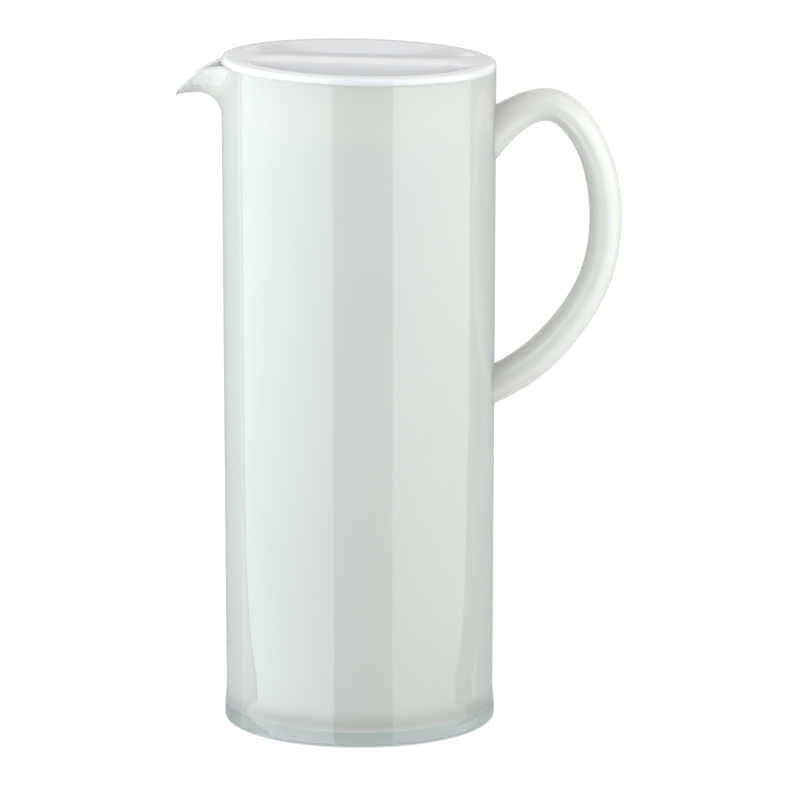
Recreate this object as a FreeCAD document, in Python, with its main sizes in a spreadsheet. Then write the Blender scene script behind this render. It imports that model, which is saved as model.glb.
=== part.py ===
import FreeCAD, Part
import os
import re

import Sketcher

# A tall acrylic carafe with its lid. A clear outer case and a pearl white liner make the wall, and both
# run out into a beaked spout at the rim. The rim slopes and is highest at the spout. A loop handle is
# cemented to the wall opposite the spout. The lid drops into the mouth on a plug skirt and lies flush
# with the case, and its top is dished, with a flat grip bar left standing across the dish.
#
# Frame: +Z is up, and the origin is on the carafe's axis in the plane it stands on. The spout points
# to -X and the handle to +X. Millimetres and degrees.

os.makedirs("parts", exist_ok=True)

SIZES = [
    # name, value, what it is
    ("rim_radius", 53.5, "outer radius of the case and of the lid at the rim"),
    ("rim_height", 260.5, "height of the rim plane on the axis"),
    ("rim_slope", 1.38, "slope of the rim plane in degrees, rising towards the spout"),
    ("waist_radius", 52.6, "outer radius of the case where the foot's flare starts"),
    ("waist_height", 14.0, "height of that waist"),
    ("foot_radius", 53.2, "outer radius of the foot"),
    ("foot_height", 5.0, "height of the foot's widest ring"),
    ("foot_round", 2.5, "rounding of the foot's lower edge"),
    ("case_wall", 2.6, "clear case, thickness of the side"),
    ("case_floor", 4.5, "clear case, thickness of the floor"),
    ("liner_wall", 2.4, "pearl liner, thickness of the side"),
    ("liner_floor", 3.0, "pearl liner, thickness of the floor"),
    ("liner_round", 9.0, "outer rounding between the liner's floor and side"),
    ("spout_reach", 17.8, "how far the beak's tip stands out from the rim"),
    ("turn_out", 9.0, "centre of the turn under the beak, out from the rim radius"),
    ("turn_down", 20.0, "the same centre, down from the rim"),
    ("turn_radius", 9.5, "radius of the turn under the beak"),
    ("root_half", 9.0, "half width of the beak where it leaves the wall"),
    ("flare_half", 13.0, "half width a third of the way round the turn"),
    ("mouth_half", 18.0, "half width where the beak leaves the rim"),
    ("neck_half", 7.0, "half width over the turn's centre"),
    ("nose_half", 5.6, "half width at the nose"),
    ("nose_fall", 1.0, "fall of the keel from the top of the turn to the tip"),
    ("lip_slope", 58.0, "slope of the lip at the tip"),
    ("lip_sweep", 25.0, "radius in which the rim line falls to that slope"),
    ("case_lip", 1.1, "clear case, thickness at the beak's nose"),
    ("liner_lip", 1.1, "pearl liner, thickness at the beak's nose"),
    ("handle_thick", 12.7, "handle, thickness in its own plane"),
    ("handle_wide", 16.0, "handle, width across its plane"),
    ("root_thick", 17.4, "thickness where the upper end meets the wall"),
    ("root_wide", 19.0, "width there"),
    ("slim_thick", 11.9, "thickness at the shoulder, the slimmest place"),
    ("tail_thick", 14.2, "thickness where the lower end meets the wall"),
    ("handle_sink", 12.0, "how far the handle's path starts inside the rim radius"),
    ("root_up", 222.6, "handle path, height of the upper end"),
    ("rise_out", 6.0, "handle path where it rises from the wall, out from the rim radius"),
    ("rise_up", 240.3, "the same, height"),
    ("crown_out", 22.5, "handle path at its crown"),
    ("crown_up", 244.6, "the same, height"),
    ("shoulder_out", 32.0, "handle path at the shoulder"),
    ("shoulder_up", 237.1, "the same, height"),
    ("high_grip_out", 40.2, "handle path at the top of the grip"),
    ("high_grip_up", 220.0, "the same, height"),
    ("grip_out", 42.8, "handle path where it stands out furthest"),
    ("grip_up", 202.0, "the same, height"),
    ("low_grip_out", 39.2, "handle path at the bottom of the grip"),
    ("low_grip_up", 177.8, "the same, height"),
    ("sweep_out", 26.5, "handle path where it sweeps back to the wall"),
    ("sweep_up", 155.9, "the same, height"),
    ("tail_out", 11.8, "handle path near its lower end"),
    ("tail_up", 141.6, "the same, height"),
    ("tail_end_up", 129.0, "handle path, height of the lower end"),
    ("lid_edge", 2.85, "thickness of the lid's flange"),
    ("lid_round", 1.3, "rounding of the flange's upper edge"),
    ("dish_radius", 47.0, "radius of the dish in the lid's top"),
    ("dish_depth", 6.5, "depth of the dish in the middle"),
    ("dish_wall", 2.8, "thickness of the lid under the dish"),
    ("bar_half", 12.2, "half width of the grip bar across the dish"),
    ("bar_wall", 2.4, "thickness of the grip bar's sides, which is hollow from below"),
    ("bar_end", 4.0, "how far the hollow in the bar stops short of the plug skirt"),
    ("plug_gap", 0.5, "clearance between the plug skirt and the mouth, at its top"),
    ("plug_taper", 0.8, "how much more the skirt's radius narrows than the mouth's does"),
    ("plug_wall", 2.4, "thickness of the plug skirt"),
    ("plug_depth", 23.0, "depth of the plug skirt below the rim"),
    ("spare", 30.0, "how far blanks and cuts run past the faces that end them"),
    ("tip_spare", 6.0, "how far the cut along the lip runs past the tip"),
]
NAMES = {name for name, _, _ in SIZES}
V = FreeCAD.Vector

doc = FreeCAD.newDocument("carafe")
sheet = doc.addObject("Spreadsheet::Sheet", "Sizes")
for row, (name, value, meaning) in enumerate(SIZES, start=1):
    sheet.set(f"A{row}", name)
    sheet.set(f"B{row}", str(value))
    sheet.set(f"C{row}", meaning)
    sheet.setAlias(f"B{row}", name)
doc.recompute()


def number(text):
    """What an expression written in the sheet's names comes to now."""
    return float(sheet.evalExpression(text))


def bound(text):
    """The same expression as another object writes it, with the sheet's name before each size."""
    return re.sub(r"[a-z]\w*", lambda word: f"Sizes.{word[0]}" if word[0] in NAMES else word[0], text)


# --- sketches ------------------------------------------------------------------------------------------

def sketch_on(body, name, role):
    """An empty sketch on one of the body's own origin planes."""
    plane = next(part for part in body.Origin.OriginFeatures if part.Role == role)
    sketch = body.newObject("Sketcher::SketchObject", name)
    sketch.AttachmentSupport = [(plane, "")]
    sketch.MapMode = "FlatFace"
    return sketch


def tie(sketch, name, text, kind, *where):
    """Add one named dimension and bind it to the sheet."""
    place = sketch.addConstraint(Sketcher.Constraint(kind, *where, number(text)))
    sketch.renameConstraint(place, name)
    sketch.setExpression(f"Constraints.{name}", bound(text))


PICK = 0.1    # how far from a corner its two edges are picked for rounding
SAME = 1e-6   # points nearer than this are one point


def outline(sketch, corners):
    """Draw a closed outline, each corner bound to the sheet. A corner is (x, y), or (x, y, "round", radius),
    or (x, y, "arc", radius) where the edge that leaves it is an arc that bulges to the right of its way."""
    points = [V(number(corner[0]), number(corner[1]), 0) for corner in corners]
    count = len(points)
    for i, corner in enumerate(corners):
        start, end = points[i], points[(i + 1) % count]
        if "arc" in corner:
            half = (end - start) * 0.5
            radius = number(corner[3])
            rise = radius - (radius ** 2 - half.Length ** 2) ** 0.5
            right = V(half.y, -half.x, 0).normalize()
            sketch.addGeometry(Part.Arc(start, start + half + right * rise, end))
        else:
            sketch.addGeometry(Part.LineSegment(start, end))
    ends = {i: (1, 2) for i in range(count)}
    for i, point in enumerate(points):
        curve = sketch.Geometry[i]
        if (curve.StartPoint - point).Length > SAME:
            ends[i] = (2, 1)
    for i in range(count):
        following = (i + 1) % count
        sketch.addConstraint(Sketcher.Constraint("Coincident", i, ends[i][1], following, ends[following][0]))
    for i, corner in enumerate(corners):
        tie(sketch, f"across{i}", corner[0], "DistanceX", -1, 1, i, ends[i][0])
        tie(sketch, f"up{i}", corner[1], "DistanceY", -1, 1, i, ends[i][0])
        if "arc" in corner:
            tie(sketch, f"bow{i}", corner[3], "Radius", i)
    for i, corner in enumerate(corners):
        if "round" in corner:
            before = (i - 1) % count
            back = (points[before] - points[i]).normalize() * PICK
            ahead = (points[(i + 1) % count] - points[i]).normalize() * PICK
            radius = number(corner[3])
            sketch.fillet(before, i, points[i] + back, points[i] + ahead, radius, True, True)
            tie(sketch, f"round{i}", corner[3], "Radius", sketch.GeometryCount - 2)
    return sketch


# --- features ------------------------------------------------------------------------------------------

volumes = {}


def checked(body, feature, adds):
    """Recompute, and see that the feature has added to the body or cut from it as it should."""
    before = volumes.get(body.Name, 0.0)
    doc.recompute()
    after = body.Shape.Volume
    volumes[body.Name] = after
    if after == before or (after > before) != adds:
        raise RuntimeError(f"{feature.Label} changed {body.Label} from {before:.0f} to {after:.0f} mm3")
    if len(body.Shape.Solids) != 1 or not body.Shape.isValid():
        raise RuntimeError(f"{feature.Label} left {body.Label} invalid or in pieces")
    return feature


def turned(body, name, corners, adds=True):
    """A solid of revolution about Z, added to the body or cut from it."""
    sketch = outline(sketch_on(body, f"{name}_outline", "XZ_Plane"), corners)
    feature = body.newObject("PartDesign::Revolution" if adds else "PartDesign::Groove", name)
    feature.Profile = sketch
    feature.ReferenceAxis = (sketch, ["V_Axis"])
    feature.Angle = 360
    return checked(body, feature, adds)


def lofted(body, name, sketches, adds=True):
    """A smooth loft through the sketches, added to the body or cut from it."""
    feature = body.newObject("PartDesign::AdditiveLoft" if adds else "PartDesign::SubtractiveLoft", name)
    feature.Profile = sketches[-1]
    feature.Sections = sketches[-2::-1]
    feature.Ruled = False
    return checked(body, feature, adds)


# --- the carafe's wall ---------------------------------------------------------------------------------

def side_radius(inset):
    """Corners of the tapering side, set in from the outside of the case, up past the rim."""
    return [(f"rim_radius - ({inset})", "rim_height"), (f"rim_radius - ({inset})", "rim_height + spare"),
            ("0", "rim_height + spare")]


CASE_OUTSIDE = [
    ("0", "0"),
    ("foot_radius", "0", "round", "foot_round"),
    ("foot_radius", "foot_height", "round", "foot_height"),
    ("waist_radius", "waist_height", "round", "waist_height"),
] + side_radius("0")


def cup(floor, inset, rounding):
    """The outside of a cup that stands on the given floor, set in from the outside of the case."""
    return [("0", floor), (f"waist_radius - ({inset})", floor, "round", rounding)] + side_radius(inset)


LINER_OUTSIDE = cup("case_floor", "case_wall", "liner_round")
LINER_INSIDE = cup("case_floor + liner_floor", "case_wall + liner_wall", "liner_round - liner_wall")

# Stations of the beak: the angle of the section round the turn, its half width, and then three shares:
# how far the wall has thinned to the lip's thickness, how far along the nose the section stands (1 is the
# tip), and how much of the keel's fall lies behind it.
BEAK = [
    (0, "root_half", 0.0, 0.0, 0.0),
    (30, "flare_half", 0.2, 0.0, 0.0),
    (60, "mouth_half", 0.6, 0.0, 0.0),
    (90, "neck_half", 1.0, 0.0, 0.0),
    (90, "nose_half", 1.0, 0.55, 0.3),
    (90, "nose_half", 1.0, 1.2, 1.5),
]
TIP_X = "-(rim_radius + spout_reach)"
TIP_Z = "(rim_height - turn_down + turn_radius - nose_fall)"


def trough(body, name, half, place):
    """A U-shaped section: its keel at the sketch's origin, its arms running up past the rim."""
    sketch = sketch_on(body, name, "XY_Plane")
    sketch.AttachmentOffset = place
    wide, tall = number(half), number("spare")
    left, right = V(-wide, wide, 0), V(wide, wide, 0)
    sketch.addGeometry(Part.Arc(left, V(0, 0, 0), right))
    sketch.addGeometry(Part.LineSegment(right, V(wide, tall, 0)))
    sketch.addGeometry(Part.LineSegment(V(wide, tall, 0), V(-wide, tall, 0)))
    sketch.addGeometry(Part.LineSegment(V(-wide, tall, 0), left))
    for rule in (("Tangent", 0, 2, 1, 1), ("Coincident", 1, 2, 2, 1), ("Coincident", 2, 2, 3, 1),
                 ("Tangent", 3, 2, 0, 1), ("PointOnObject", 0, 3, -2), ("Horizontal", 2)):
        sketch.addConstraint(Sketcher.Constraint(*rule))
    tie(sketch, "half", half, "Radius", 0)
    tie(sketch, "keel", half, "DistanceY", -1, 1, 0, 3)
    tie(sketch, "tall", "spare", "DistanceY", -1, 1, 1, 2)
    return sketch


def beak(body, name, wall, lip, adds=True):
    """The beak, its outside set in by the thickness of wall where it leaves the side and of lip at the
    nose. Its sections fan round the turn underneath and then step along the nose."""
    sections = []
    for i, (angle, half, thinned, along, fallen) in enumerate(BEAK):
        inset = f"({1 - thinned} * ({wall}) + {thinned} * ({lip}))"
        past = f"{along} * (spout_reach - turn_out)"
        keel_x = f"-(rim_radius + turn_out + {past}) + (turn_radius + {inset}) * cos({angle})"
        keel_z = f"rim_height - turn_down - {fallen} * nose_fall + (turn_radius + {inset}) * sin({angle})"
        arms = FreeCAD.Rotation(V(0, 1, 0), -angle).multVec(V(1, 0, 0))
        turn = FreeCAD.Rotation(V(0, 1, 0), arms, V(0, 1, 0).cross(arms), "XYZ")
        place = FreeCAD.Placement(V(number(keel_x), 0, number(keel_z)), turn)
        section = trough(body, f"{name}_section_{i}", f"{half} - {inset}", place)
        section.setExpression("AttachmentOffset.Base.x", bound(keel_x))
        section.setExpression("AttachmentOffset.Base.z", bound(keel_z))
        sections.append(section)
    return lofted(body, name, sections, adds)


def trim_rim(body):
    """Cut away all that stands above the sloping rim and the falling lip of the beak."""
    fall = "tan(lip_slope)"
    slope = "tan(rim_slope)"
    corner_x = f"((rim_height - {TIP_Z} + {fall} * {TIP_X}) / ({fall} + {slope}))"
    high = "rim_height + 2 * spare"
    outline_corners = [
        ("rim_radius + spare", f"rim_height - (rim_radius + spare) * {slope}"),
        ("rim_radius + spare", high),
        (f"{TIP_X} - spare", high),
        (f"{TIP_X} - spare", f"{TIP_Z} - {fall} * tip_spare"),
        (f"{TIP_X} - tip_spare", f"{TIP_Z} - {fall} * tip_spare"),
        (corner_x, f"rim_height - {corner_x} * {slope}", "round", "lip_sweep"),
    ]
    sketch = outline(sketch_on(body, "rim_outline", "XZ_Plane"), outline_corners)
    feature = body.newObject("PartDesign::Pocket", "rim_trim")
    feature.Profile = sketch
    feature.Type = "ThroughAll"
    feature.SideType = "Symmetric"
    return checked(body, feature, False)


def make_body(name):
    body = doc.addObject("PartDesign::Body", name)
    body.Label = name
    return body


case = make_body("clear_case")
turned(case, "case_outside", CASE_OUTSIDE)
beak(case, "beak_outside", "0", "0")
trim_rim(case)
turned(case, "liner_seat", LINER_OUTSIDE, adds=False)
beak(case, "beak_seat", "case_wall", "case_lip", adds=False)

liner = make_body("pearl_liner")
turned(liner, "liner_outside", LINER_OUTSIDE)
beak(liner, "beak_outside", "case_wall", "case_lip")
trim_rim(liner)
turned(liner, "inside", LINER_INSIDE, adds=False)
beak(liner, "channel", "case_wall + liner_wall", "case_lip + liner_lip", adds=False)


# --- the handle ----------------------------------------------------------------------------------------

PATH = [("-handle_sink", "root_up"), ("rise_out", "rise_up"), ("crown_out", "crown_up"),
        ("shoulder_out", "shoulder_up"), ("high_grip_out", "high_grip_up"), ("grip_out", "grip_up"),
        ("low_grip_out", "low_grip_up"), ("sweep_out", "sweep_up"), ("tail_out", "tail_up"),
        ("-handle_sink", "tail_end_up")]

# Sections of the handle: how far along the path, thickness in its plane, and width across it.
GRIPS = [
    (0.00, "root_thick", "root_wide"),
    (0.07, "root_thick", "root_wide"),
    (0.11, "0.4 * root_thick + 0.6 * handle_thick", "0.4 * root_wide + 0.6 * handle_wide"),
    (0.15, "handle_thick", "handle_wide"),
    (0.22, "handle_thick", "handle_wide"),
    (0.29, "slim_thick", "handle_wide"),
    (0.36, "slim_thick", "handle_wide"),
    (0.44, "handle_thick", "handle_wide"),
    (0.52, "handle_thick", "handle_wide"),
    (0.60, "handle_thick", "handle_wide"),
    (0.68, "handle_thick", "handle_wide"),
    (0.76, "0.5 * (handle_thick + tail_thick)", "handle_wide"),
    (0.85, "tail_thick", "handle_wide"),
    (1.00, "tail_thick", "handle_wide"),
]


def oval(body, name, thick, wide, place):
    """An elliptical section, thick along the sketch's Y axis and wide along its X axis."""
    sketch = sketch_on(body, name, "XY_Plane")
    sketch.AttachmentOffset = place
    sketch.addGeometry(Part.Ellipse(V(0, 0, 0), number(wide) / 2, number(thick) / 2))
    sketch.exposeInternalGeometry(0)
    sketch.addConstraint(Sketcher.Constraint("Coincident", 0, 3, -1, 1))
    sketch.addConstraint(Sketcher.Constraint("Horizontal", 1))
    tie(sketch, "wide", wide, "Distance", 1)
    tie(sketch, "thick", thick, "Distance", 2)
    return sketch


handle = make_body("handle")
path = Part.BSplineCurve()
path.interpolate([V(number(f"rim_radius + {out}"), 0, number(up)) for out, up in PATH])
length = path.length()
ovals = []
for i, (share, thick, wide) in enumerate(GRIPS):
    at = path.parameterAtDistance(share * length)
    along = path.tangent(at)[0]
    turn = FreeCAD.Rotation(V(0, 1, 0), along.cross(V(0, 1, 0)), along, "ZXY")
    ovals.append(oval(handle, f"grip_section_{i}", thick, wide, FreeCAD.Placement(path.value(at), turn)))
lofted(handle, "loop", ovals)
turned(handle, "wall_seat", [("0", "waist_height"), ("waist_radius", "waist_height"),
                             ("rim_radius", "rim_height"), ("0", "rim_height")], adds=False)


# --- the lid, made level with the rim plane as its XY plane --------------------------------------------

lid = make_body("lid")
mouth = "(rim_radius - case_wall - liner_wall)"
plug_top = f"({mouth} - plug_gap)"
wall_lean = "((rim_radius - waist_radius) / (rim_height - waist_height))"
plug_low = f"({plug_top} - plug_taper - plug_depth * {wall_lean})"
dish_bow = "((dish_radius ^ 2 + dish_depth ^ 2) / (2 * dish_depth))"
under_radius = f"({plug_top} - plug_wall)"
under_bow = f"({dish_bow} + dish_wall)"
under_drop = f"({under_bow} - sqrt({under_bow} ^ 2 - {under_radius} ^ 2))"
under_floor = "(lid_edge - dish_depth - dish_wall)"

turned(lid, "blank", [
    ("0", "-plug_depth"), (plug_low, "-plug_depth"), (plug_top, "0"), ("rim_radius", "0"),
    ("rim_radius", "lid_edge", "round", "lid_round"), ("0", "lid_edge")])
turned(lid, "dish", [
    ("0", "lid_edge - dish_depth", "arc", dish_bow), ("dish_radius", "lid_edge"),
    ("dish_radius", "lid_edge + spare"), ("0", "lid_edge + spare")], adds=False)
turned(lid, "plug_hollow", [
    ("0", under_floor, "arc", under_bow), (under_radius, f"{under_floor} + {under_drop}"),
    (f"{plug_low} - plug_wall", "-plug_depth"), (f"{plug_low} - plug_wall", "-plug_depth - spare"),
    ("0", "-plug_depth - spare")], adds=False)


def across(name, long, wide, height, ends=()):
    """An outline about the axis, level with the rim plane and raised by height, with straight or arc ends."""
    sketch = sketch_on(lid, name, "XY_Plane")
    sketch.AttachmentOffset = FreeCAD.Placement(V(0, 0, number(height)), FreeCAD.Rotation())
    sketch.setExpression("AttachmentOffset.Base.z", bound(height))
    return outline(sketch, [(f"-({long})", f"-({wide})"), (long, f"-({wide})", *ends), (long, wide),
                            (f"-({long})", wide, *ends)])


bar = lid.newObject("PartDesign::Pad", "grip_bar")
bar.Profile = across("bar_outline", "sqrt(dish_radius ^ 2 - bar_half ^ 2)", "bar_half", "lid_edge",
                     ends=("arc", "dish_radius"))
bar.Reversed = True
bar.setExpression("Length", bound(f"lid_edge - {under_floor}"))
checked(lid, bar, True)
bar_hollow = lid.newObject("PartDesign::Pocket", "bar_hollow")
bar_hollow.Profile = across("bar_hollow_outline", f"{under_radius} - bar_end", "bar_half - bar_wall",
                            "lid_edge - dish_wall")
bar_hollow.Type = "ThroughAll"
checked(lid, bar_hollow, False)
lid.Placement = FreeCAD.Placement(V(0, 0, number("rim_height")),
                                  FreeCAD.Rotation(V(0, 1, 0), number("rim_slope")))
lid.setExpression("Placement.Base.z", bound("rim_height"))
lid.setExpression("Placement.Rotation.Angle", bound("rim_slope"))
doc.recompute()


# --- check and write -----------------------------------------------------------------------------------

for thing in doc.Objects:
    if {"Invalid", "Error"} & set(thing.State):
        raise RuntimeError(f"{thing.Label} did not compute: {thing.State}")
for body in (case, liner, handle, lid):
    if body.Shape.isNull() or not body.Shape.isValid() or len(body.Shape.Solids) != 1:
        raise RuntimeError(f"{body.Label} is not one valid solid")
for body in (case, liner, handle, lid):
    body.Shape.exportStep(f"parts/{body.Label}.step")
    box = body.Shape.BoundBox
    print(f"{body.Label}: {body.Shape.Volume / 1000:.1f} cm3, X {box.XMin:.1f} to {box.XMax:.1f}, "
          f"Y {box.YMin:.1f} to {box.YMax:.1f}, Z {box.ZMin:.1f} to {box.ZMax:.1f}")
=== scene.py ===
# %% [markdown]
# # An acrylic carafe with its lid
#
# The carafe is two layers of acrylic moulded one inside the other: a clear outer case and a pearl white
# liner. Both run out into a beak at the rim. A solid pearl handle is cemented to the wall, and an opal
# white lid drops into the mouth and lies flush with the rim. This notebook builds those four pieces as
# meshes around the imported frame, gives each a procedural material, and lights them as a small studio
# would: two large softboxes at the sides, with a dark gap between them where the camera stands.

# %% Load the frame
import math

import bmesh
import bpy
import numpy as np
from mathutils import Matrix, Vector, geometry


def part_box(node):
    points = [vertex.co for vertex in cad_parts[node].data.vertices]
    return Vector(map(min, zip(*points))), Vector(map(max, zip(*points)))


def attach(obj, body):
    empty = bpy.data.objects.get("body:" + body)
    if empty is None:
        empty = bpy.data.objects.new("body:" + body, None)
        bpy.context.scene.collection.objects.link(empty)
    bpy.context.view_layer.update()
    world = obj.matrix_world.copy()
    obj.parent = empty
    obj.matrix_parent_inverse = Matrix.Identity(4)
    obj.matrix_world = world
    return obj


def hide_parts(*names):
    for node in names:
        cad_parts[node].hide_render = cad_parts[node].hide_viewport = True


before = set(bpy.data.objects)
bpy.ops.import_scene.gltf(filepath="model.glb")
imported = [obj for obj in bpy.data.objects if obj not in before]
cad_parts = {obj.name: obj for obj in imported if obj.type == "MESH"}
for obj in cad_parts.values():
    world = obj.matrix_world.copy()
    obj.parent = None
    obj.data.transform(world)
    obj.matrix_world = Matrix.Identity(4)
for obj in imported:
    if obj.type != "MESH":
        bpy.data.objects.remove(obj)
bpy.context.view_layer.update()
print("nodes in the frame:", sorted(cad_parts))

# %% [markdown]
# ## Sizes
#
# The frame is the truth about size. Its boxes give the radius of the rim, the tip of the beak, the
# thickness of the clear wall and floor, and the height of the lid. What a box can't say, such as the
# slope of the rim or the turn under the beak, is a named value in millimetres.

# %% Read the sizes from the frame
MM = 0.001


def corners(node):
    """The lowest and highest corner of a frame node, in millimetres."""
    return [np.array(corner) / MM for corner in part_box(node)]


case_low, case_high = corners("clear_case")
liner_low, liner_high = corners("pearl_liner")
lid_high = corners("lid")[1]

rim_radius = case_high[0]
case_wall = rim_radius - liner_high[0]
case_floor = liner_low[2]
tip_out = -case_low[0]
liner_wall = 2.4
liner_floor = 3.0
case_lip = 1.1       # thickness of the clear layer at the nose of the beak
liner_lip = 1.1      # and of the pearl layer
crest_out = 50.0     # how far out, towards the beak, the rim is highest
rim_slope = math.radians(1.38)
rim_height = case_high[2] - crest_out * math.tan(rim_slope)
print(f"rim radius {rim_radius:.1f}, wall {case_wall:.1f}, floor {case_floor:.1f}, tip {tip_out:.1f} mm")

# %% [markdown]
# ## The side of the carafe
#
# The wall is a body of revolution, so one outline in height and radius describes it. It could be drawn
# as a curve and spun with the Screw modifier. Here the outline is a function of height instead, because
# the beak has to grow out of the same wall, and a function can be asked for its radius anywhere.

# %% The outline of the side
waist_radius, waist_height = 52.6, 14.0
foot_radius, foot_height, foot_round = 53.2, 5.0, 2.5
liner_round = 9.0


def ease(share):
    """A share from 0 to 1 that starts and stops gently."""
    share = np.clip(share, 0.0, 1.0)
    return share * share * (3.0 - 2.0 * share)


def side_radius(height):
    """Outer radius of the clear case at a height, with its flared foot."""
    taper = (height - waist_height) / (rim_height - waist_height)
    flare = ease((waist_height - height) / (waist_height - foot_height))
    return waist_radius + (rim_radius - waist_radius) * np.maximum(taper, 0.0) + (
        foot_radius - waist_radius) * flare


print("radius at foot, waist and rim:", [round(float(side_radius(h)), 2) for h in (0, 14, rim_height)])

# %% [markdown]
# ## The rim line
#
# Seen from the side, the rim is a straight line that rises a little towards the beak, bends over in one
# arc, and falls steeply to the tip. It is two lines and the arc that is tangent to both. The arc's
# centre is worked out once, and then the height of the rim is a function of how far out a point lies.

# %% The height of the rim
turn_out, turn_down, turn_radius, nose_fall = 9.0, 20.0, 9.5, 1.0
lip_slope, lip_sweep = math.radians(58.0), 25.0
keel_top = rim_height - turn_down + turn_radius
tip_height = keel_top - nose_fall


def rim_at(out):
    """Height of the rim at a distance out towards the beak (negative towards the handle)."""
    level, steep = math.tan(rim_slope), math.tan(lip_slope)
    corner = (tip_height - rim_height + steep * tip_out) / (steep + level)
    reach = lip_sweep * math.tan((rim_slope + lip_slope) / 2)
    start = corner - reach * math.cos(rim_slope)
    end = corner + reach * math.cos(lip_slope)
    centre = np.array([start + lip_sweep * math.sin(rim_slope),
                       rim_height + start * level - lip_sweep * math.cos(rim_slope)])
    arc = centre[1] + np.sqrt(np.maximum(lip_sweep ** 2 - (out - centre[0]) ** 2, 0.0))
    plane = rim_height + out * level
    fall = tip_height + steep * (tip_out - out)
    return np.where(out < start, plane, np.where(out < end, arc, fall))


print("rim at the handle, axis, beak's root and tip:",
      [round(float(rim_at(out)), 1) for out in (-rim_radius, 0.0, 50.0, tip_out)])

# %% [markdown]
# ## The beak
#
# The beak is a trough that grows out of the wall. Three curves describe it: its outline seen from above,
# its keel seen from the side, and the rim line above. Between the keel and the rim every cross-section
# is half an ellipse. A loft of separate sections joined to the wall with a boolean would leave a crease
# where they meet. Building wall and beak as one sheet of columns, each running from the foot up the wall
# and out under the beak, keeps that join as smooth as a moulding.

# %% The outline of the rim from above
flare_angle = math.radians(27.0)   # where the beak's outline leaves the round of the rim


def bezier(start, leave, arrive, end, count):
    """Points along one Bezier curve, without its last point."""
    points = geometry.interpolate_bezier(*(Vector((*p, 0.0)) for p in (start, leave, arrive, end)), count + 1)
    return np.array([[p.x, p.y] for p in points[:-1]])


def beak_plan(radius):
    """Half of the beak's outline from above, from the tip to the round of the rim, as (out, across)."""
    root = radius * np.array([math.cos(flare_angle), math.sin(flare_angle)])
    along = np.array([math.sin(flare_angle), -math.cos(flare_angle)])
    nose = bezier((tip_out, 0.0), (tip_out, 3.4), (69.3, 5.4), (66.3, 5.9), 12)
    flank = bezier((66.3, 5.9), (62.6, 6.6), (60.0, 8.0), (57.6, 10.6), 14)
    flare = bezier((57.6, 10.6), (54.6, 13.9), root + along * 7.0, root, 16)
    return np.vstack([nose, flank, flare, root])


plan = beak_plan(rim_radius)
print(f"{len(plan)} points from the tip to the rim, {plan[-1].round(1)} mm")

# %% [markdown]
# Each layer of the wall is the same sheet set in by a thickness: the full wall where the beak leaves the
# side, and only the thin lip at its nose. The outline from above is therefore moved in along its own
# normals, by an amount that eases from one thickness to the other.

# %% Columns round the rim
def set_in(points, wall, lip):
    """The half outline moved inwards, by lip at the tip and by wall at the rim."""
    along = np.gradient(points, axis=0)
    along[0] = (0.0, 1.0)
    normal = np.stack([-along[:, 1], along[:, 0]], axis=1)
    normal /= np.linalg.norm(normal, axis=1, keepdims=True)
    share = ease((tip_out - points[:, 0]) / (tip_out - rim_radius * math.cos(flare_angle)))
    return points + normal * (lip + (wall - lip) * share)[:, None]


def rim_columns(wall, lip, step=math.radians(2.4)):
    """The whole outline from above as (out, across), from the tip round to the tip again."""
    half = set_in(plan, wall, lip)
    half[-1] = (rim_radius - wall) * np.array([math.cos(flare_angle), math.sin(flare_angle)])
    count = round((2 * math.pi - 2 * flare_angle) / step)
    angles = np.linspace(flare_angle, 2 * math.pi - flare_angle, count + 1)[1:-1]
    ring = (rim_radius - wall) * np.stack([np.cos(angles), np.sin(angles)], axis=1)
    return np.vstack([half, ring, half[:0:-1] * (1, -1)])


print("columns round the carafe:", len(rim_columns(0.0, 0.0)))

# %% [markdown]
# The keel runs up the wall, turns out under the beak in a quarter circle and ends at the nose. A column
# that stands between the keel and the beak's edge takes a share of both, so the trough closes smoothly.

# %% The keel
def keel_line(wall, lip):
    """Heights of the keel against the distance out, for a layer set in by wall and lip."""
    centre = rim_radius + turn_out
    turn = np.linspace(0.0, math.pi / 2, 40)
    reach = (centre - rim_radius) + wall + (lip - wall) * ease(turn / (math.pi / 2))
    out = centre - reach * np.cos(turn)
    up = keel_top - turn_out + reach * np.sin(turn)
    nose = np.linspace(0.0, 1.0, 20)[1:]
    out = np.append(out, centre + (tip_out - centre) * nose)
    up = np.append(up, up[-1] - nose_fall * nose ** 2)
    return out, up


def even(points, count):
    """The same line with its points spread evenly along it."""
    run = np.append(0.0, np.cumsum(np.linalg.norm(np.diff(points, axis=0), axis=1)))
    spread = np.linspace(0.0, run[-1], count)
    return np.stack([np.interp(spread, run, points[:, i]) for i in range(points.shape[1])], axis=1)


start_out, start_up = (float(line[0]) for line in keel_line(0.0, 0.0))
print(f"keel leaves the wall {start_up:.1f} mm up and {start_out:.1f} mm out")

# %% [markdown]
# With the keel and the rim known, a column is drawn at each angle, from the plain side up to the rim, and
# its points are spread evenly. Side by side, the columns make the sheet.

# %% One sheet of the wall
sheet_foot = 225.0        # height where the plain side hands over to the sheet with the beak
sheet_rows = 46


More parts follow.
